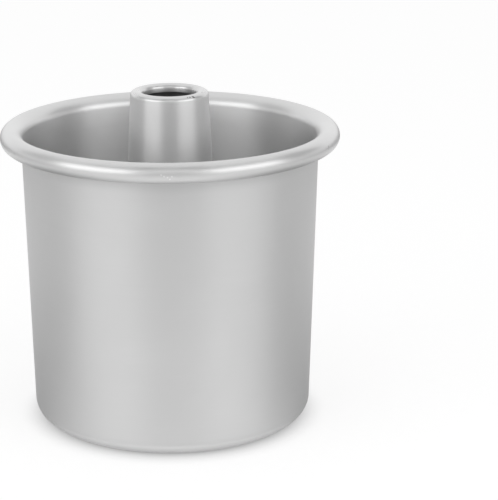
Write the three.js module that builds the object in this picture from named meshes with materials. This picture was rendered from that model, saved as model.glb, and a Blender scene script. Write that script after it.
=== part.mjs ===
// Tall round cake pan with a lift-out base and a centre tube.
// Three pieces of spun aluminium sheet. Millimetres and degrees, +Z up.
// The origin is on the pan's axis, on the surface that the pan stands on.
import * as THREE from 'three';

// Pan shell
const WALL_SHEET = 1.0; // thickness of the sheet
const WALL_TAPER = 1.5; // outward lean of the wall
const MOUTH_RADIUS = 76; // inside of the wall under the rim, a 6 inch mouth
const RIM_HEIGHT = 156; // crest of the rolled rim
const ROLL_RADIUS = 5; // outside of the rim's roll
const ROLL_GAP = 0.8; // least distance from the roll to the wall
const ROLL_TURN = 245; // how far the sheet rolls, from the crest back towards the wall
const CORNER_RADIUS = 9.5; // outside of the bottom corner
const LEDGE_WIDTH = 9; // flat ledge under the base

// Base plate
const PLATE_SHEET = 1.2; // thickness of the sheet
const PLATE_PLAY = 1.0; // from the plate's edge to the start of the shell's corner
const SEAT_GAP = 0.3; // between the plate and the ledge that carries it
const DISH_RADIUS = 46; // middle of the step up to the raised centre
const DISH_RISE = 5; // height of that step, which keeps the seam off the table
const DISH_BEND = 6; // radius of its two bends, at mid sheet

// Centre tube
const TUBE_SHEET = 1.0; // thickness of the sheet
const TUBE_HEIGHT = 174; // top of the tube, above the table
const TUBE_TOP_RADIUS = 20.2; // outside of the tube at its shoulder
const TUBE_TAPER = 2.8; // inward lean of the tube
const SHOULDER_RADIUS = 1.2; // outside of the bend from the tube to its top ring
const RING_WIDTH = 6.2; // top ring, from the outside of the tube to its hole
const RING_ROLL = 2.2; // outside of the bend down into the hole
const RING_SKIRT = 2; // straight run below that bend
const BEAD_BEND = 1.1; // radius of the bead's bends, at mid sheet
const BEAD_LEAN = 75; // steepest lean of the bead's flanks
const SEAM_BEND = 1.0; // radius of the bend into the flange, at mid sheet
const SEAM_WIDTH = 2.8; // flange under the plate, from the outside of the neck
const SEAM_GAP = 0.3; // between the tube and the plate that it clamps

// Fineness of the round surfaces
const SHELL_STEPS = 64; // round the pan's axis
const TUBE_STEPS = 48; // round the tube
const CHORD_ERROR = 0.08; // largest distance from a bend to its straight steps

const QUARTER = Math.PI / 2;
const HALF = Math.PI;

// Points on a path of straight runs and round bends.
function pathPoints(path) {
  const points = [path.curves[0].getPoint(0)];
  for (const curve of path.curves) {
    let steps = 1;
    if (curve.isEllipseCurve) {
      const turn = Math.abs(curve.aEndAngle - curve.aStartAngle);
      steps = Math.ceil(turn / (2 * Math.acos(1 - CHORD_ERROR / curve.xRadius)));
    }
    for (let step = 1; step <= steps; step += 1) {
      points.push(curve.getPoint(step / steps));
    }
  }
  return points;
}

// One face of a sheet: its middle line moved sideways, with every corner mitred.
function sheetFace(middle, offset) {
  const runs = middle.slice(1).map((point, i) => point.clone().sub(middle[i]).normalize());
  return middle.map((point, i) => {
    const before = runs[Math.max(i - 1, 0)];
    const after = runs[Math.min(i, runs.length - 1)];
    const along = before.clone().add(after).normalize();
    const reach = offset / along.dot(before);
    return new THREE.Vector2(point.x + along.y * reach, point.y - along.x * reach);
  });
}

// A piece of sheet spun round the Z axis, from the path (radius, height) of its middle line.
function spunSheet(name, path, thickness, steps, finish) {
  const middle = pathPoints(path);
  const outer = sheetFace(middle, thickness / 2);
  const inner = sheetFace(middle, -thickness / 2);
  const section = [...outer, ...inner.reverse(), outer[0]];
  const geometry = new THREE.LatheGeometry(section, steps);
  geometry.rotateX(QUARTER);
  const mesh = new THREE.Mesh(geometry, new THREE.MeshStandardMaterial(finish));
  mesh.name = name;
  return mesh;
}

// The shell's roll stands just outside the wall, and its lip bends from the wall to the roll's crest.
const wallLean = THREE.MathUtils.degToRad(WALL_TAPER);
const rollCentre = MOUTH_RADIUS + WALL_SHEET + ROLL_GAP + ROLL_RADIUS;
const lipRadius = rollCentre - MOUTH_RADIUS;
const lipHeight = RIM_HEIGHT - lipRadius;
const wallBends = lipRadius + CORNER_RADIUS - WALL_SHEET;
const cornerCentre = rollCentre - wallBends / Math.cos(wallLean)
  - (lipHeight - CORNER_RADIUS) * Math.tan(wallLean);

function panShell() {
  const half = WALL_SHEET / 2;
  const rollEnd = QUARTER - THREE.MathUtils.degToRad(ROLL_TURN);
  const path = new THREE.Path();
  path.moveTo(cornerCentre - LEDGE_WIDTH, half);
  path.lineTo(cornerCentre, half);
  path.absarc(cornerCentre, CORNER_RADIUS, CORNER_RADIUS - half, -QUARTER, -wallLean, false);
  path.absarc(rollCentre, lipHeight, lipRadius - half, HALF - wallLean, QUARTER, true);
  path.absarc(rollCentre, RIM_HEIGHT - ROLL_RADIUS, ROLL_RADIUS - half, QUARTER, rollEnd, true);
  return spunSheet('pan_shell', path, WALL_SHEET, SHELL_STEPS, {
    color: 0xc4c4c4,
    metalness: 1,
    roughness: 0.45,
  });
}

// The base stands on the ledge: heights from here on are above its underside.
const baseHeight = WALL_SHEET + SEAT_GAP;
const tubeTop = TUBE_HEIGHT - baseHeight;
const dishTop = DISH_RISE + PLATE_SHEET;

// The tube widens from its shoulder down to the bead, which sets the neck that passes the plate.
const tubeLean = THREE.MathUtils.degToRad(TUBE_TAPER);
const beadLean = THREE.MathUtils.degToRad(BEAD_LEAN);
const beadStart = dishTop + SEAM_GAP;
const beadPitch = BEAD_BEND * Math.sin(beadLean);
const beadEnd = beadStart + 4 * beadPitch;
const shoulderCentre = TUBE_TOP_RADIUS - SHOULDER_RADIUS;
const tubeBends = SHOULDER_RADIUS - TUBE_SHEET / 2 + BEAD_BEND;
const beadCentre = shoulderCentre + tubeBends / Math.cos(tubeLean)
  + (tubeTop - SHOULDER_RADIUS - beadEnd) * Math.tan(tubeLean);
const neckMiddle = beadCentre - BEAD_BEND;
const neckOutside = neckMiddle + TUBE_SHEET / 2;

function basePlate() {
  const half = PLATE_SHEET / 2;
  const stepLean = Math.acos(1 - DISH_RISE / (2 * DISH_BEND));
  const stepReach = DISH_BEND * Math.sin(stepLean);
  const path = new THREE.Path();
  path.moveTo(neckOutside + SEAM_GAP, DISH_RISE + half);
  path.lineTo(DISH_RADIUS - stepReach, DISH_RISE + half);
  path.absarc(DISH_RADIUS - stepReach, DISH_RISE + half - DISH_BEND, DISH_BEND,
    QUARTER, QUARTER - stepLean, true);
  path.absarc(DISH_RADIUS + stepReach, half + DISH_BEND, DISH_BEND,
    -QUARTER - stepLean, -QUARTER, false);
  path.lineTo(cornerCentre - PLATE_PLAY, half);
  return spunSheet('base_plate', path, PLATE_SHEET, SHELL_STEPS, {
    color: 0xc8c8c8,
    metalness: 1,
    roughness: 0.42,
  });
}

function centreTube() {
  const half = TUBE_SHEET / 2;
  const flangeHeight = DISH_RISE - SEAM_GAP - half;
  const holeRadius = TUBE_TOP_RADIUS - RING_WIDTH;
  const path = new THREE.Path();
  path.moveTo(neckOutside + SEAM_WIDTH, flangeHeight);
  path.lineTo(neckMiddle + SEAM_BEND, flangeHeight);
  path.absarc(neckMiddle + SEAM_BEND, flangeHeight + SEAM_BEND, SEAM_BEND, -QUARTER, -HALF, true);
  path.absarc(beadCentre, beadStart, BEAD_BEND, HALF, HALF - beadLean, true);
  path.absarc(beadCentre - 2 * BEAD_BEND * Math.cos(beadLean), beadStart + 2 * beadPitch, BEAD_BEND,
    -beadLean, beadLean, false);
  path.absarc(beadCentre, beadEnd, BEAD_BEND, HALF + beadLean, HALF + tubeLean, true);
  path.absarc(shoulderCentre, tubeTop - SHOULDER_RADIUS, SHOULDER_RADIUS - half,
    tubeLean, QUARTER, false);
  path.absarc(holeRadius + RING_ROLL, tubeTop - RING_ROLL, RING_ROLL - half, QUARTER, HALF, false);
  path.lineTo(holeRadius + half, tubeTop - RING_ROLL - RING_SKIRT);
  return spunSheet('centre_tube', path, TUBE_SHEET, TUBE_STEPS, {
    color: 0xbebebe,
    metalness: 1,
    roughness: 0.4,
  });
}

const liftOutBase = new THREE.Group();
liftOutBase.position.z = baseHeight;
liftOutBase.add(basePlate(), centreTube());

const cakePan = new THREE.Group();
cakePan.add(panShell(), liftOutBase);

export default cakePan;
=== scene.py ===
# %% [markdown]
# # A tall cake pan with a lift-out base
# The pan is three pieces of spun aluminium sheet: a shell with a rolled rim, a loose round plate that
# rests on a ledge inside it, and a conical tube that is clamped into the plate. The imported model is
# the fixed frame: it gives the bodies that move, the size to keep and the place of every piece.
# Its solids have few facets, so here each piece is spun again with a finer section and a real finish.

# %% Load the frame
import math

import bmesh
import bpy
from mathutils import Matrix, Vector


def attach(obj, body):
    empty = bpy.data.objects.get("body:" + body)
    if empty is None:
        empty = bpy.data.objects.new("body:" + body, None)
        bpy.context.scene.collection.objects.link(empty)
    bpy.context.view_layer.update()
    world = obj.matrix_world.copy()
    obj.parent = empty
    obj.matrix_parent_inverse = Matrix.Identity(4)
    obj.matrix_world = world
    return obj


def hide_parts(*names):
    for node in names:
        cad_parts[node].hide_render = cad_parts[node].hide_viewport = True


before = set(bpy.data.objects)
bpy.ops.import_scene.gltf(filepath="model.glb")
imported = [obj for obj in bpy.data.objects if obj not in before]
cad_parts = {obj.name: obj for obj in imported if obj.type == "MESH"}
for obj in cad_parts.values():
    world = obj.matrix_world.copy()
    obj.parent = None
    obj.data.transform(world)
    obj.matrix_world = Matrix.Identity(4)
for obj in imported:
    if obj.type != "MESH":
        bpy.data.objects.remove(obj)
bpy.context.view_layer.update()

# %% [markdown]
# ## The camera
# A long lens stands a metre away and looks down a little into the mouth of the pan. The pan is left of
# the middle of the picture, so the camera's shift moves the frame and not the view, which keeps the
# perspective of a camera that points at the pan. A half degree of roll tips the pan as the photo does.

# %% Camera
CAMERA_DISTANCE = 1.0405
CAMERA_ELEVATION = math.radians(17.31)
CAMERA_ROLL = math.radians(-0.59)
CAMERA_TARGET = Vector((0, 0, 0.075))
CAMERA_LENS = 141.54  # mm
SENSOR_WIDTH = 36  # mm
SHIFT_RIGHT = 0.1554  # both shifts are shares of the picture's size
SHIFT_UP = 0.0475

camera_data = bpy.data.cameras.new("camera")
camera_data.lens = CAMERA_LENS
camera_data.sensor_width = SENSOR_WIDTH
camera_data.shift_x = SHIFT_RIGHT
camera_data.shift_y = SHIFT_UP
camera = bpy.data.objects.new("camera", camera_data)
bpy.context.scene.collection.objects.link(camera)
reach = Vector((0, -math.cos(CAMERA_ELEVATION), math.sin(CAMERA_ELEVATION))) * CAMERA_DISTANCE
camera.location = CAMERA_TARGET + reach
aim = (-reach).to_track_quat("-Z", "Y").to_matrix() @ Matrix.Rotation(CAMERA_ROLL, 3, "Z")
camera.rotation_euler = aim.to_euler()
bpy.context.scene.camera = camera
print("camera at", tuple(round(value, 4) for value in camera.location))

# %% [markdown]
# ## Drawing a section
# Metal spinners draw one line for a piece: the middle of its sheet, from edge to edge, made of straight
# runs and round bends. The same line could be a curve with a bevel, but a chain of mesh vertices can be
# spun exactly. A straight run is an extruded vertex, and a bend is that vertex spun about the centre of
# the bend, so every radius is true. A long run is drawn in several steps, so that no face gets very long.

# %% Section tools
MM = 0.001
BEND_STEP = 7.5  # degrees of each step round a bend
SAME_POINT = 0.001 * MM  # points that are closer than this are one


def straight(bm, tip, radius, height, steps=1):
    """Draws a straight run from the tip of a section, and returns its new tip."""
    first = tip.co.copy()
    end = Vector((radius, 0, height))
    for step in range(1, steps + 1):
        tip = bmesh.ops.extrude_vert_indiv(bm, verts=[tip])["verts"][0]
        tip.co = first.lerp(end, step / steps)
    return tip


def bend(bm, tip, centre, radius, first, last, steps=1):
    """Draws a run to the start of a bend, in steps, and the bend itself, between two angles in degrees."""
    angle = math.radians(first)
    start_radius = centre[0] + radius * math.cos(angle)
    start_height = centre[1] + radius * math.sin(angle)
    if (tip.co - Vector((start_radius, 0, start_height))).length > SAME_POINT:
        tip = straight(bm, tip, start_radius, start_height, steps)
    turned = bmesh.ops.spin(
        bm,
        geom=[tip],
        cent=(centre[0], 0, centre[1]),
        axis=(0, -1, 0),
        angle=math.radians(last - first),
        steps=math.ceil(abs(last - first) / BEND_STEP),
    )
    return next(item for item in turned["geom_last"] if isinstance(item, bmesh.types.BMVert))


# %% [markdown]
# ## Spinning a sheet
# The section turns once about the pan's axis and closes on itself. Solidify then gives the surface the
# thickness of the metal, half to each side, so the drawn line stays in the middle of the sheet. The cut
# edges of real sheet are rubbed smooth so that they don't cut the hand, and a small bevel does that.

# %% Spun sheet
EDGE_ROUND = 0.3 * MM
EDGE_SEGMENTS = 3
EDGE_ANGLE = math.radians(60)  # only edges that turn by more than this are cut edges


def spun_sheet(name, bm, thickness, steps):
    """Turns a section into a piece of sheet metal round the Z axis."""
    bmesh.ops.spin(
        bm,
        geom=bm.verts[:] + bm.edges[:],
        cent=(0, 0, 0),
        axis=(0, 0, 1),
        angle=math.tau,
        steps=steps,
        use_merge=True,
    )
    bmesh.ops.remove_doubles(bm, verts=bm.verts[:], dist=SAME_POINT)
    bmesh.ops.recalc_face_normals(bm, faces=bm.faces[:])
    for face in bm.faces:
        face.smooth = True
    mesh = bpy.data.meshes.new(name)
    bm.to_mesh(mesh)
    bm.free()
    piece = bpy.data.objects.new(name, mesh)
    bpy.context.scene.collection.objects.link(piece)
    wall = piece.modifiers.new("sheet", "SOLIDIFY")
    wall.thickness = thickness
    wall.offset = 0
    wall.use_even_offset = True
    wall.use_quality_normals = True
    edge = piece.modifiers.new("rubbed edge", "BEVEL")
    edge.width = EDGE_ROUND
    edge.segments = EDGE_SEGMENTS
    edge.limit_method = "ANGLE"
    edge.angle_limit = EDGE_ANGLE
    edge.harden_normals = True
    print(name, "has", len(mesh.polygons), "faces in its middle surface")
    return piece


# %% [markdown]
# ## The shell
# The wall leans out a little, so that a cake slides out. At the mouth the metal bends outwards over a lip
# and rolls on into an open curl, which stiffens the edge and is kind to the hand: a torus on top of the
# wall would look alike from above, but it would have no gap below. At the foot the wall turns in through
# a round corner to a narrow ledge, which leaves the bottom open.

# %% Shell
WALL_SHEET = 1.0 * MM
WALL_TAPER = 1.5
MOUTH_RADIUS = 76 * MM
RIM_HEIGHT = 156 * MM
ROLL_RADIUS = 5 * MM
ROLL_GAP = 0.8 * MM
ROLL_TURN = 245
CORNER_RADIUS = 9.5 * MM
LEDGE_WIDTH = 9 * MM
SHELL_STEPS = 192  # round the axis

wall_lean = math.radians(WALL_TAPER)
roll_centre = MOUTH_RADIUS + WALL_SHEET + ROLL_GAP + ROLL_RADIUS
lip_radius = roll_centre - MOUTH_RADIUS
lip_height = RIM_HEIGHT - lip_radius
wall_bends = (lip_radius + CORNER_RADIUS - WALL_SHEET) / math.cos(wall_lean)
corner_centre = roll_centre - wall_bends - (lip_height - CORNER_RADIUS) * math.tan(wall_lean)

half = WALL_SHEET / 2
section = bmesh.new()
tip = section.verts.new((corner_centre - LEDGE_WIDTH, 0, half))
tip = straight(section, tip, corner_centre, half, steps=4)
corner = (corner_centre, CORNER_RADIUS)
tip = bend(section, tip, corner, CORNER_RADIUS - half, -90, -WALL_TAPER)
lip = (roll_centre, lip_height)
tip = bend(section, tip, lip, lip_radius - half, 180 - WALL_TAPER, 90, steps=14)
roll = (roll_centre, RIM_HEIGHT - ROLL_RADIUS)
tip = bend(section, tip, roll, ROLL_RADIUS - half, 90, 90 - ROLL_TURN)
shell = spun_sheet("shell", section, WALL_SHEET, SHELL_STEPS)

# %% [markdown]
# ## Where the plate and the tube meet
# The base rests on the ledge, so its heights start a hair above it. The tube narrows as it rises. Its top
# and its taper set how wide its neck is where it passes the plate, and the neck sets the plate's hole, so
# these sizes come before both pieces.

# %% Sizes of the base
PLATE_SHEET = 1.2 * MM
SEAT_GAP = 0.3 * MM
DISH_RISE = 5 * MM
TUBE_SHEET = 1.0 * MM
TUBE_HEIGHT = 174 * MM
TUBE_TOP_RADIUS = 20.2 * MM
TUBE_TAPER = 2.8
SHOULDER_RADIUS = 2.4 * MM  # softer than the solid's
BEAD_BEND = 1.1 * MM
BEAD_LEAN = 75
SEAM_GAP = 0.3 * MM

base_height = WALL_SHEET + SEAT_GAP
dish_height = base_height + DISH_RISE
bead_start = dish_height + PLATE_SHEET + SEAM_GAP
bead_pitch = BEAD_BEND * math.sin(math.radians(BEAD_LEAN))
bead_end = bead_start + 4 * bead_pitch
tube_lean = math.radians(TUBE_TAPER)
shoulder_centre = TUBE_TOP_RADIUS - SHOULDER_RADIUS
tube_bends = (SHOULDER_RADIUS - TUBE_SHEET / 2 + BEAD_BEND) / math.cos(tube_lean)
tube_run = TUBE_HEIGHT - SHOULDER_RADIUS - bead_end
bead_centre = shoulder_centre + tube_bends + tube_run * math.tan(tube_lean)
neck_middle = bead_centre - BEAD_BEND
neck_outside = neck_middle + TUBE_SHEET / 2
print("the tube's neck is", round(2 * neck_outside / MM, 2), "mm wide")

# %% [markdown]
# ## The plate
# The loose base is a flat disc with its middle pressed up into a shallow dish. The press leaves two soft
# bends, and the dish lifts the seam of the tube clear of the table. Two bends of the same radius, one
# turned against the other, draw the step without a straight run between them.

# %% Plate
PLATE_PLAY = 1.0 * MM
DISH_RADIUS = 46 * MM
DISH_BEND = 6 * MM
PLATE_STEPS = 160  # round the axis

half = PLATE_SHEET / 2
step_lean = math.acos(1 - DISH_RISE / (2 * DISH_BEND))
step_reach = DISH_BEND * math.sin(step_lean)
step_turn = math.degrees(step_lean)
section = bmesh.new()
tip = section.verts.new((neck_outside + SEAM_GAP, 0, dish_height + half))
upper = (DISH_RADIUS - step_reach, dish_height + half - DISH_BEND)
tip = bend(section, tip, upper, DISH_BEND, 90, 90 - step_turn, steps=4)
lower = (DISH_RADIUS + step_reach, base_height + half + DISH_BEND)
tip = bend(section, tip, lower, DISH_BEND, -90 - step_turn, -90)
tip = straight(section, tip, corner_centre - PLATE_PLAY, base_height + half, steps=4)
plate = spun_sheet("plate", section, PLATE_SHEET, PLATE_STEPS)

# %% [markdown]
# ## The tube
# The tube is the part that takes the most skill to spin. From below, it starts as a flange under the
# plate, turns up through the plate's hole, swells into a bead that clamps the plate from above, runs up
# as a cone and folds in at the top to a flat ring with a lip that rolls down into the hole.

# %% Tube
RING_WIDTH = 6.2 * MM
RING_ROLL = 2.2 * MM
RING_SKIRT = 2 * MM
SEAM_BEND = 1.0 * MM
SEAM_WIDTH = 2.8 * MM
TUBE_STEPS = 144  # round the axis

half = TUBE_SHEET / 2
flange_height = dish_height - SEAM_GAP - half
hole_radius = TUBE_TOP_RADIUS - RING_WIDTH
section = bmesh.new()
tip = section.verts.new((neck_outside + SEAM_WIDTH, 0, flange_height))
seam = (neck_middle + SEAM_BEND, flange_height + SEAM_BEND)
tip = bend(section, tip, seam, SEAM_BEND, -90, -180)
tip = bend(section, tip, (bead_centre, bead_start), BEAD_BEND, 180, 180 - BEAD_LEAN)
bead_middle = bead_centre - 2 * BEAD_BEND * math.cos(math.radians(BEAD_LEAN))
tip = bend(section, tip, (bead_middle, bead_start + 2 * bead_pitch), BEAD_BEND, -BEAD_LEAN, BEAD_LEAN)
tip = bend(section, tip, (bead_centre, bead_end), BEAD_BEND, 180 + BEAD_LEAN, 180 + TUBE_TAPER)
shoulder = (shoulder_centre, TUBE_HEIGHT - SHOULDER_RADIUS)
tip = bend(section, tip, shoulder, SHOULDER_RADIUS - half, TUBE_TAPER, 90, steps=16)
hole_lip = (hole_radius + RING_ROLL, TUBE_HEIGHT - RING_ROLL)
tip = bend(section, tip, hole_lip, RING_ROLL - half, 90, 180, steps=2)
tip = straight(section, tip, hole_radius + half, TUBE_HEIGHT - RING_ROLL - RING_SKIRT, steps=2)
tube = spun_sheet("tube", section, TUBE_SHEET, TUBE_STEPS)

# %% [markdown]
# ## Finishes that the pieces share
# All three pieces are satin aluminium, and the same things show on each: fine rings from the spinning
# tool, the even tooth of the satin bath, faint clouds where hands have been, and a nick here and there.
# Each is a node group, so that a material can use it with its own values. A few helpers keep the groups
# and the materials short: one line of Python for one node.


# %% Group tools
def new_group(name, inputs, output):
    """Makes a shader node group with named number inputs and one number output."""
    tree = bpy.data.node_groups.new(name, "ShaderNodeTree")
    for label, value in inputs.items():
        socket = tree.interface.new_socket(name=label, in_out="INPUT", socket_type="NodeSocketFloat")
        socket.default_value = value
    tree.interface.new_socket(name=output, in_out="OUTPUT", socket_type="NodeSocketFloat")
    return tree, tree.nodes.new("NodeGroupInput"), tree.nodes.new("NodeGroupOutput")


def place_group(tree, group, **values):
    """Places a node group with its own values and returns its output."""
    node = tree.nodes.new("ShaderNodeGroup")
    node.node_tree = group
    for label, value in values.items():
        node.inputs[label].default_value = value
    return node.outputs[0]


# %% Node tools
def feed(tree, socket, value):
    """Links a socket to another, or sets it to a number."""
    if isinstance(value, bpy.types.NodeSocket):
        tree.links.new(value, socket)
    else:
        socket.default_value = value


def math_node(tree, operation, *values):
    """Adds a Math node whose inputs are sockets or numbers, and returns its output."""
    node = tree.nodes.new("ShaderNodeMath")
    node.operation = operation
    for socket, value in zip(node.inputs, values):
        feed(tree, socket, value)
    return node.outputs[0]


def ramp(tree, value, low, high, start=0.0, end=1.0):
    """Adds a smooth Map Range node, whose ends are sockets or numbers, and returns its output."""
    node = tree.nodes.new("ShaderNodeMapRange")
    node.interpolation_type = "SMOOTHSTEP"
    tree.links.new(value, node.inputs["Value"])
    for label, number in (("From Min", low), ("From Max", high), ("To Min", start), ("To Max", end)):
        feed(tree, node.inputs[label], number)
    return node.outputs["Result"]


def noise(tree, place, scale, detail, distortion=0.0):
    """Adds a Noise node on a point, and returns its output."""
    node = tree.nodes.new("ShaderNodeTexNoise")
    node.inputs["Detail"].default_value = detail
    node.inputs["Distortion"].default_value = distortion
    tree.links.new(place, node.inputs["Vector"])
    feed(tree, node.inputs["Scale"], scale)
    return node.outputs[0]


# %% Places on a piece
def object_place(tree):
    """Gives a point's place on its piece."""
    return tree.nodes.new("ShaderNodeTexCoord").outputs["Object"]


def axis_place(tree):
    """Gives a point's parts X, Y and Z and its radius from the pan's axis."""
    split = tree.nodes.new("ShaderNodeSeparateXYZ")
    tree.links.new(object_place(tree), split.inputs[0])
    x = split.outputs["X"]
    y = split.outputs["Y"]
    squares = math_node(tree, "MULTIPLY_ADD", y, y, math_node(tree, "MULTIPLY", x, x))
    return split.outputs, math_node(tree, "SQRT", squares)


# %% [markdown]
# The rings come from a noise in four dimensions: height and radius are stretched, and the direction from
# the axis hardly counts, so the marks run round the pan without a seam. A wave texture would make rings
# too, but all of one strength. The satin tooth and the clouds are plain noise, fine and coarse. A nick is
# a ball about one point of the surface, with a noise to make its edge ragged.


# %% Spinning marks
def spinning_marks():
    """Fine rings round the axis: Height is 0 to 1."""
    tree, given, result = new_group("spinning marks", {"Rings": 900.0, "Wander": 1.2}, "Height")
    parts, radius = axis_place(tree)
    point = tree.nodes.new("ShaderNodeCombineXYZ")
    for label in ("X", "Y"):
        turn = math_node(tree, "DIVIDE", parts[label], radius)
        tree.links.new(math_node(tree, "MULTIPLY", turn, given.outputs["Wander"]), point.inputs[label])
    tree.links.new(math_node(tree, "MULTIPLY", parts["Z"], given.outputs["Rings"]), point.inputs["Z"])
    rings = noise(tree, point.outputs[0], scale=1, detail=3)
    rings.node.noise_dimensions = "4D"
    tree.links.new(math_node(tree, "MULTIPLY", radius, given.outputs["Rings"]), rings.node.inputs["W"])
    tree.links.new(rings, result.inputs["Height"])
    return tree


# %% Satin tooth
def satin_tooth():
    """The fine even grain of etched metal: Height is 0 to 1."""
    tree, given, result = new_group("satin tooth", {"Grains": 3500.0}, "Height")
    grains = noise(tree, object_place(tree), given.outputs["Grains"], detail=2)
    tree.links.new(grains, result.inputs["Height"])
    return tree


# %% Handling clouds
CLOUD_EDGES = (0.3, 0.7)  # levels of the noise between which a cloud builds up


def handling_clouds():
    """Soft patches that hands and washing leave: Cloud is 0 to 1."""
    tree, given, result = new_group("handling clouds", {"Patches": 26.0}, "Cloud")
    patches = noise(tree, object_place(tree), given.outputs["Patches"], detail=4, distortion=0.6)
    tree.links.new(ramp(tree, patches, *CLOUD_EDGES), result.inputs["Cloud"])
    return tree


# %% Nick
RAGGED_SCALE = 1500.0  # of the noise on a nick's edge


def nick():
    """One small nick with a ragged edge at a place on the piece: Mask is 1 inside it."""
    tree, given, result = new_group("nick", {"X": 0.0, "Y": 0.0, "Z": 0.0, "Size": 0.4 * MM}, "Mask")
    spot = tree.nodes.new("ShaderNodeCombineXYZ")
    for label in ("X", "Y", "Z"):
        tree.links.new(given.outputs[label], spot.inputs[label])
    gap = tree.nodes.new("ShaderNodeVectorMath")
    gap.operation = "DISTANCE"
    place = object_place(tree)
    tree.links.new(place, gap.inputs[0])
    tree.links.new(spot.outputs[0], gap.inputs[1])
    ragged = noise(tree, place, RAGGED_SCALE, detail=1)
    inner = math_node(tree, "MULTIPLY", given.outputs["Size"], ragged)
    outer = math_node(tree, "MULTIPLY", inner, 2)
    tree.links.new(ramp(tree, gap.outputs["Value"], inner, outer, 1, 0), result.inputs["Mask"])
    return tree


# %% Make the groups
SPINNING = spinning_marks()
TOOTH = satin_tooth()
CLOUDS = handling_clouds()
NICK = nick()
print("node groups", [tree.name for tree in bpy.data.node_groups])

# %% [markdown]
# ## Satin aluminium
# The metal is fully metallic, so its colour is the colour of its reflections. The spun rings spread a
# reflection up and down and hardly sideways, which is what anisotropy does: it draws the soft upright
# bands on the wall. Masks vary it from place to place. Rubbed places, such as the rim, the inside of the
# wall and the ring on the tube, are smoother. A list of tints makes places lighter, as where bare metal
# shows and as painted light on the inside of the wall. Other tints make places darker: painted shade in
# the crease under the roll, in a dent on the rim, on the tube's ring and its chips and inside the tube,
# and a darker band round the tube's seam.

# %% Satin material
STRETCH = 0.75  # how far the spun rings stretch a reflection
UPRIGHT = 0.25  # a quarter turn, from round the axis to up and down
RUBBED_SHARE = 0.68  # of the roughness that is left where the metal is rubbed
RING_TONE = 0.03  # how far the grey varies from ring to ring
CLOUD_TONE = 0.02  # how much lighter a cloud is
RING_ROUGHNESS = 0.04  # how much rougher a ring is
TOOTH_DEPTH = 0.35  # of the satin tooth, as a share of the relief
RELIEF = 0.02 * MM
RELIEF_STRENGTH = 0.2


def satin(name, grey, roughness, rings, ring_depth, masks):
    """Satin aluminium: masks takes the material's tree, and gives a mask of rubbed places and a list of
    other masks, each with the share by which it makes the metal lighter or darker."""
    material = bpy.data.materials.new(name)
    material.use_nodes = True
    tree = material.node_tree
    shader = tree.nodes["Principled BSDF"]
    shader.inputs["Metallic"].default_value = 1
    shader.inputs["Anisotropic"].default_value = STRETCH
    shader.inputs["Anisotropic Rotation"].default_value = UPRIGHT
    rubbed, tints = masks(tree)
    marks = place_group(tree, SPINNING, Rings=rings)
    tooth = place_group(tree, TOOTH)
    clouds = place_group(tree, CLOUDS)

    tone = math_node(tree, "MULTIPLY_ADD", marks, RING_TONE, 1 - RING_TONE)
    for mask, share in [(clouds, CLOUD_TONE)] + tints:
        tone = math_node(tree, "MULTIPLY_ADD", mask, share, tone)
    tree.links.new(math_node(tree, "MULTIPLY", tone, grey), shader.inputs["Base Color"])

    worn = ramp(tree, rubbed, 0, 1, roughness, roughness * RUBBED_SHARE)
    rough = math_node(tree, "MULTIPLY_ADD", marks, RING_ROUGHNESS, worn)
    tree.links.new(rough, shader.inputs["Roughness"])

    grain = math_node(tree, "MULTIPLY", tooth, TOOTH_DEPTH)
    bump = tree.nodes.new("ShaderNodeBump")
    bump.inputs["Strength"].default_value = RELIEF_STRENGTH
    bump.inputs["Distance"].default_value = RELIEF
    tree.links.new(math_node(tree, "MULTIPLY_ADD", marks, ring_depth, grain), bump.inputs["Height"])
    tree.links.new(bump.outputs["Normal"], shader.inputs["Normal"])
    return material


# %% [markdown]
# The masks are measured on the pieces themselves. A straight wall is a line in the section, so a point
# is outside the sheet when its radius is more than that line gives for its height. A nick sits on a
# rounded edge, so its place follows from the bend of that edge: how far to the right it is, how far up
# the bend, and then how far to the front.


# %% Mask tools
def wall_line(tree, height, radius, at_height, lean):
    """The radius of a leaning wall's middle at a height, from one point of it and its lean."""
    rise = math.tan(lean)
    return math_node(tree, "MULTIPLY_ADD", height, rise, radius - at_height * rise)


def edge_nicks(tree, centre, radius, places):
    """Nicks on the front half of a rounded edge, from the centre and the radius of its bend. Each place
    is millimetres to the right, degrees up the bend, and the nick's size in millimetres."""
    found = 0.0
    for right, tilt, size in places:
        turn = math.radians(tilt)
        reach = centre[0] + radius * math.cos(turn)
        front = -math.sqrt(reach**2 - (right * MM) ** 2)
        height = centre[1] + radius * math.sin(turn)
        spot = place_group(tree, NICK, X=right * MM, Y=front, Z=height, Size=size * MM)
        found = math_node(tree, "MAXIMUM", spot, found)
    return found


# %% [markdown]
# The rim is rubbed by hands, and the inside of the wall is rubbed by cakes and washing, which makes both
# smoother. The inside of the wall is also lighter, which is painted light. The crease under the roll is
# darker, which is painted shade. A scuff of five small bare nicks is on the front of the rim, and a dent
# of two nicks on its right is darkened, which is painted shade.

# %% Masks of the shell
RIM_RUB = (RIM_HEIGHT - 22 * MM, RIM_HEIGHT - 4 * MM)  # heights between which the rubbing builds up
CREASE_START = (RIM_HEIGHT - 18 * MM, RIM_HEIGHT - 11 * MM)
CREASE_END = (RIM_HEIGHT - 10 * MM, RIM_HEIGHT - 7 * MM)
SHEET_FACES = (-0.4 * MM, 0.4 * MM)  # just under the inner and the outer face, from the sheet's middle
RIM_SCUFF = ((-4.3, 5, 0.5), (-2.9, -2, 0.5), (-1.3, -10, 0.5), (-0.2, -20, 0.5), (0.7, -4, 0.5))
RIM_DENT = ((79.3, 13, 0.9), (78.9, 3, 0.6))
# tints: the inside's is painted light, the crease's and the dent's are painted shade, the scuff's is bare
# metal
INSIDE_PAINTED_LIGHT = 0.12
CREASE_PAINTED_SHADE = -0.1
SCUFF_TINT = 0.22
DENT_PAINTED_SHADE = -0.25


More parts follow.
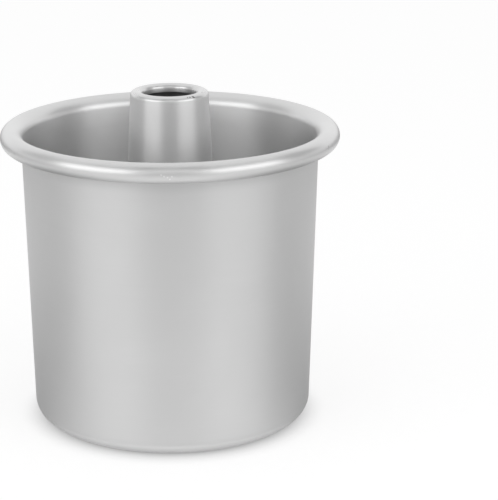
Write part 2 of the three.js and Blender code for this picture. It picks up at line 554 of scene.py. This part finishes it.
def shell_masks(tree):
    """The rim and the inside are rubbed and the rim is scuffed; the inside gets painted light, and the
    crease under the roll and a dent on the rim get painted shade.
    """
    parts, radius = axis_place(tree)
    line = wall_line(tree, parts["Z"], MOUTH_RADIUS + WALL_SHEET / 2, lip_height, wall_lean)
    outside = ramp(tree, math_node(tree, "SUBTRACT", radius, line), *SHEET_FACES)
    inside = math_node(tree, "SUBTRACT", 1, outside)
    rubbed = math_node(tree, "MAXIMUM", ramp(tree, parts["Z"], *RIM_RUB), inside)
    # painted shade in the crease under the roll
    start = ramp(tree, parts["Z"], *CREASE_START)
    end = ramp(tree, parts["Z"], *CREASE_END, 1, 0)
    crease = math_node(tree, "MULTIPLY", math_node(tree, "MULTIPLY", start, end), outside)
    scuff = edge_nicks(tree, roll, ROLL_RADIUS, RIM_SCUFF)
    # a dent of two nicks, darkened as painted shade
    dent = edge_nicks(tree, roll, ROLL_RADIUS, RIM_DENT)
    # painted light on the inside, painted shade in the crease and the dent; the scuff is bare metal
    tints = [(inside, INSIDE_PAINTED_LIGHT), (crease, CREASE_PAINTED_SHADE), (scuff, SCUFF_TINT), (dent, DENT_PAINTED_SHADE)]
    return rubbed, tints


# %% [markdown]
# The plate is darker round the seam of the tube. The inside of the tube is darker, which is painted shade.
# The ring at the top of the tube is rubbed, because the pan stands on it to cool, and it is a little
# darker, which is painted shade. It has four small chips, which are darkened as painted shade.

# %% Masks of the plate and the tube
DISH_RUB = (DISH_RISE, DISH_RISE + 2 * MM)  # heights between which the rubbing builds up
DISH_RUBBED = 0.3  # how far the dish is rubbed
SEAM_DARK_WIDTH = 5 * MM  # width of the darker band round the tube
SEAM_DARKENING = -0.3
RING_RUB = (TUBE_HEIGHT - 2.6 * MM, TUBE_HEIGHT - 0.6 * MM)
TUBE_DARK = (TUBE_HEIGHT - 6 * MM, TUBE_HEIGHT - 2 * MM)  # heights between which the dark inside ends
RING_CHIPS = ((12.0, 52, 0.9), (10.4, 55, 0.5), (9.2, 55, 0.4), (16.6, 90, 0.5))
# the ring is darkened as painted shade
RING_PAINTED_SHADE = -0.14
# painted shade inside the tube and in the ring's chips
TUBE_PAINTED_SHADE = -0.66


def plate_masks(tree):
    """The raised middle is rubbed, and the plate is darker round the seam of the tube."""
    parts, radius = axis_place(tree)
    rubbed = ramp(tree, parts["Z"], *DISH_RUB, 0, DISH_RUBBED)
    # darker round the tube's seam
    near_seam = ramp(tree, radius, neck_outside, neck_outside + SEAM_DARK_WIDTH, 1, 0)
    return rubbed, [(near_seam, SEAM_DARKENING)]


def tube_masks(tree):
    """The top ring is rubbed and chipped; the ring, its chips and the inside of the tube are darkened as
    painted shade.
    """
    parts, radius = axis_place(tree)
    rubbed = ramp(tree, parts["Z"], *RING_RUB)
    line = wall_line(tree, parts["Z"], neck_middle, bead_end, -tube_lean)
    inside = math_node(tree, "LESS_THAN", radius, line)
    # painted shade inside the tube
    dark = math_node(tree, "MULTIPLY", ramp(tree, parts["Z"], *TUBE_DARK, 1, 0), inside)
    # chips darkened as painted shade
    chips = edge_nicks(tree, shoulder, SHOULDER_RADIUS, RING_CHIPS)
    # the rubbed ring is also darkened as painted shade
    return rubbed, [(rubbed, RING_PAINTED_SHADE), (dark, TUBE_PAINTED_SHADE), (chips, TUBE_PAINTED_SHADE)]


# %% Materials
shell_satin = satin("shell satin", grey=0.7, roughness=0.5, rings=900, ring_depth=0.5, masks=shell_masks)
plate_satin = satin("plate satin", grey=0.7, roughness=0.48, rings=1100, ring_depth=1, masks=plate_masks)
# the tube's grey is lighter than the shell's, as painted light
tube_satin = satin("tube satin", grey=0.78, roughness=0.38, rings=900, ring_depth=0.5, masks=tube_masks)
shell.data.materials.append(shell_satin)
plate.data.materials.append(plate_satin)
tube.data.materials.append(tube_satin)
print("materials", [shell_satin.name, plate_satin.name, tube_satin.name])

# %% [markdown]
# ## Pieces on their bodies
# The shell is one body and the base with its tube is the other, which lifts out. Each new piece stands
# for its solid, which stays as the collision shape, hidden.

# %% Bodies, nodes and slots
for piece, body, node, slot in (
    (shell, "pan", "pan_shell", "shell_satin"),
    (plate, "base", "base_plate", "plate_satin"),
    (tube, "base", "centre_tube", "tube_satin"),
):
    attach(piece, body)
    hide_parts(node)
    print(piece.name, "rides on", body)

# %% [markdown]
# ## Floor and light
# Metal shows its surroundings, so the light is made like a studio for cookware. A white sweep stands
# all round, and the floor is part of it: it is diffuse and keeps the shadow of the pan, and a share of
# its white is its own, so that the shadow stays faint. That own white fades out under the pan and just
# round it, which is a painted shadow; elsewhere it is even to the camera. To the metal the paper is
# dimmer close beside and behind the pan, which is a painted shadow of the pan, and again far away, which
# is painted shade; this gives the wall its darker edges.


# %% Stage tools
def seen_rays(tree, to_metal=1.0):
    """Which rays see the sweep's own white: those of the camera and of glass in full, and those of
    metal by a share that is a number or a socket."""
    rays = tree.nodes.new("ShaderNodeLightPath")
    seen = math_node(tree, "MAXIMUM", rays.outputs["Is Camera Ray"], rays.outputs["Is Transmission Ray"])
    mirrored = math_node(tree, "MULTIPLY", rays.outputs["Is Glossy Ray"], to_metal)
    return math_node(tree, "MAXIMUM", seen, mirrored)


def flat_card(name, width, height):
    """A flat rectangle that belongs to the stage and not to the pan."""
    bm = bmesh.new()
    bmesh.ops.create_grid(bm, x_segments=1, y_segments=1, size=0.5)
    bmesh.ops.scale(bm, vec=(width, height, 1), verts=bm.verts[:])
    mesh = bpy.data.meshes.new(name)
    bm.to_mesh(mesh)
    bm.free()
    card = bpy.data.objects.new(name, mesh)
    bpy.context.scene.collection.objects.link(card)
    return card


# %% Floor
FLOOR_SIZE = 12
FLOOR_DROP = 0.2 * MM  # a hair below the pan's ledge
FLOOR_GREY = 0.45
FLOOR_GLOW = 0.64
PAINTED_SHADOW_RADII = (51.2 * MM, 83.2 * MM)  # radii from the painted shadow under the pan, where the paper has no glow, to the open paper
NEAR_TO_FAR = (0.15, 0.4)  # radii between which the near paper passes into the far paper
NEAR_PAINTED_SHADOW = (-1.1, 0.15)  # where the near paper dims to the metal as a painted shadow of the pan, from -1 in front of the pan to 1 behind it
NEAR_SHARE = 0.97  # of the glow that the metal sees in front of the pan
FAR_PAINTED_SHADE = (0.5, 0.9)  # radii between which the far paper dims to the metal, as painted shade
FAR_SHARE = 0.9  # of the glow that the metal sees before that


def white_paper():
    """Paper that is partly lit and partly white by itself; its own white has a painted shadow under and
    round the pan, and to the metal a painted shadow beside and behind the pan and painted shade far away.
    """
    material = bpy.data.materials.new("white paper")
    material.use_nodes = True
    tree = material.node_tree
    tree.nodes.remove(tree.nodes["Principled BSDF"])
    parts, radius = axis_place(tree)
    # to the metal: a painted shadow of the pan near it, and painted shade far away
    near = ramp(tree, math_node(tree, "DIVIDE", parts["Y"], radius), *NEAR_PAINTED_SHADOW, NEAR_SHARE, 0)
    far = ramp(tree, radius, *FAR_PAINTED_SHADE, FAR_SHARE, 0)
    seen = seen_rays(tree, ramp(tree, radius, *NEAR_TO_FAR, near, far))
    # painted shadow: the paper's own white fades out under and round the pan
    white = ramp(tree, radius, *PAINTED_SHADOW_RADII, 0, FLOOR_GLOW)
    glow = tree.nodes.new("ShaderNodeEmission")
    tree.links.new(math_node(tree, "MULTIPLY", seen, white), glow.inputs["Strength"])
    matt = tree.nodes.new("ShaderNodeBsdfDiffuse")
    matt.inputs["Color"].default_value = (FLOOR_GREY, FLOOR_GREY, FLOOR_GREY, 1)
    both = tree.nodes.new("ShaderNodeAddShader")
    tree.links.new(matt.outputs[0], both.inputs[0])
    tree.links.new(glow.outputs[0], both.inputs[1])
    tree.links.new(both.outputs[0], tree.nodes["Material Output"].inputs["Surface"])
    return material


floor = flat_card("floor", FLOOR_SIZE, FLOOR_SIZE)
floor.location.z = -FLOOR_DROP
floor.data.materials.append(white_paper())
print("floor of grey", FLOOR_GREY, "and glow", FLOOR_GLOW)

# %% World
STAGE_WHITE = 1.0  # what the camera and the metal see of the sweep
SKY_LEVEL = 0.75  # what lights the floor

world = bpy.data.worlds.new("studio")
bpy.context.scene.world = world
world.use_nodes = True
sweep = world.node_tree
level = ramp(sweep, seen_rays(sweep), 0, 1, SKY_LEVEL, STAGE_WHITE)
sweep.links.new(level, sweep.nodes["Background"].inputs["Strength"])
sweep.nodes["Background"].inputs["Color"].default_value = (1, 1, 1, 1)
print("sweep of", STAGE_WHITE, "to the camera and", SKY_LEVEL, "to the floor")

# %% [markdown]
# A soft box to each side of the camera draws a bright band on the wall and on the tube. Between the
# boxes, above them and beside the pan stand grey cards, as a photographer would put up, so that a rounded
# surface shows dim stretches between its lights. Only the metal sees the cards, and they take no light
# from the floor.

# %% Soft boxes and cards
LIGHT_TARGET = Vector((0, 0, 0.09))


def stand(thing, azimuth, elevation, distance):
    """Places a lamp or a card so that it faces the pan; azimuth 0 is the camera's side."""
    turn = math.radians(azimuth)
    rise = math.radians(elevation)
    away = Vector((math.sin(turn) * math.cos(rise), -math.cos(turn) * math.cos(rise), math.sin(rise)))
    thing.location = LIGHT_TARGET + away * distance
    thing.rotation_euler = away.to_track_quat("Z", "Y").to_euler()


def soft_box(name, azimuth, elevation, distance, width, height, watts):
    """A rectangular lamp."""
    data = bpy.data.lights.new(name, "AREA")
    data.shape = "RECTANGLE"
    data.size = width
    data.size_y = height
    data.energy = watts
    lamp = bpy.data.objects.new(name, data)
    bpy.context.scene.collection.objects.link(lamp)
    stand(lamp, azimuth, elevation, distance)


def grey_card(name, azimuth, elevation, distance, width, height, grey):
    """A card that only metal sees, as an even grey from every side."""
    cloth = bpy.data.materials.new(name)
    cloth.use_nodes = True
    shader = cloth.node_tree.nodes["Principled BSDF"]
    shader.inputs["Base Color"].default_value = (0, 0, 0, 1)
    shader.inputs["Specular IOR Level"].default_value = 0
    shader.inputs["Emission Color"].default_value = (1, 1, 1, 1)
    shader.inputs["Emission Strength"].default_value = grey
    card = flat_card(name, width, height)
    card.data.materials.append(cloth)
    card.visible_camera = False
    card.visible_diffuse = False
    card.visible_transmission = False
    card.visible_shadow = False
    stand(card, azimuth, elevation, distance)


soft_box("left box", azimuth=-50, elevation=22, distance=0.9, width=0.8, height=0.48, watts=1.12)
soft_box("right box", azimuth=51, elevation=22, distance=0.9, width=0.8, height=0.48, watts=1.02)
grey_card("left card", azimuth=-102, elevation=35, distance=0.8, width=0.5, height=0.5, grey=0.62)
grey_card("right card", azimuth=102, elevation=35, distance=0.8, width=0.5, height=0.5, grey=0.5)
grey_card("high card", azimuth=0, elevation=66, distance=0.9, width=0.5, height=0.28, grey=0.25)
for side, azimuth in (("left", -52), ("right", 52)):
    grey_card(f"{side} high card", azimuth, elevation=54, distance=0.9, width=0.7, height=0.25, grey=0.3)
grey_card("front card", azimuth=0, elevation=14, distance=1.3, width=0.7, height=0.45, grey=0.7)
bpy.context.scene.view_settings.view_transform = "Standard"
print("lamps", [light.name for light in bpy.data.lights])
